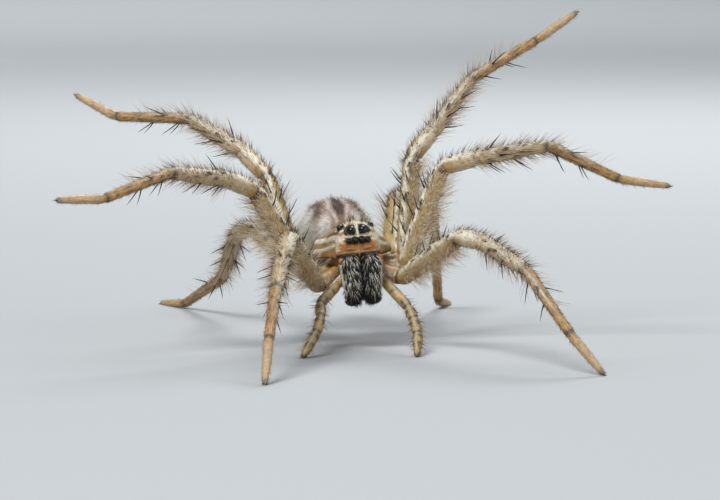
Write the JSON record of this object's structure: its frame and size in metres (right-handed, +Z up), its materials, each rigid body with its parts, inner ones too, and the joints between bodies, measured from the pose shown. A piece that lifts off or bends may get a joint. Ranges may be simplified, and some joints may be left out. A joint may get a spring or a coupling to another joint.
{
  "type": "funnel weaver spider",
  "caption": "Life-size funnel weaver spider, still, with striped hairy legs, four of them raised; rests on its other feet and palps.",
  "frame": {"origin": "on the floor under the middle of the whole spider, legs included", "axes": "+Z up, the head faces -Y, the spider's left side is +X"},
  "size_m": [0.0288, 0.0352, 0.0152],
  "materials": {
    "shield": "brown carapace cuticle with pale hair bands, satin",
    "abdomen": "soft skin under short grey-brown hair, matt",
    "jaw": "dark brown hard cuticle under pale bristles, satin",
    "claw": "red-brown polished fang",
    "eye": "black clear lens, mirror-smooth",
    "leg": "straw-coloured leg cuticle with brown rings under pale hair, satin",
    "foot": "orange-brown cuticle of the outer leg, satin"
  },
  "bodies": {
    "root": {"abdomen": "abdomen", "cephalothorax": "shield", "chelicera_left": "jaw", "chelicera_right": "jaw", "eye_left_front_lateral": "eye", "eye_left_front_median": "eye", "eye_left_rear_lateral": "eye", "eye_left_rear_median": "eye", "eye_right_front_lateral": "eye", "eye_right_front_median": "eye", "eye_right_rear_lateral": "eye", "eye_right_rear_median": "eye", "fang_left": "claw", "fang_right": "claw", "leg_left_1_femur": "leg", "leg_left_1_foot": "foot", "leg_left_1_tibia": "leg", "leg_left_2_femur": "leg", "leg_left_2_foot": "foot", "leg_left_2_tibia": "leg", "leg_left_3_femur": "leg", "leg_left_3_foot": "foot", "leg_left_3_tibia": "leg", "leg_left_4_femur": "leg", "leg_left_4_foot": "foot", "leg_left_4_tibia": "leg", "leg_right_1_femur": "leg", "leg_right_1_foot": "foot", "leg_right_1_tibia": "leg", "leg_right_2_femur": "leg", "leg_right_2_foot": "foot", "leg_right_2_tibia": "leg", "leg_right_3_femur": "leg", "leg_right_3_foot": "foot", "leg_right_3_tibia": "leg", "leg_right_4_femur": "leg", "leg_right_4_foot": "foot", "leg_right_4_tibia": "leg", "palp_left_femur": "leg", "palp_left_tip": "leg", "palp_right_femur": "leg", "palp_right_tip": "leg", "pedicel": "shield", "spinnerets": "abdomen"}
  },
  "joints": []
}
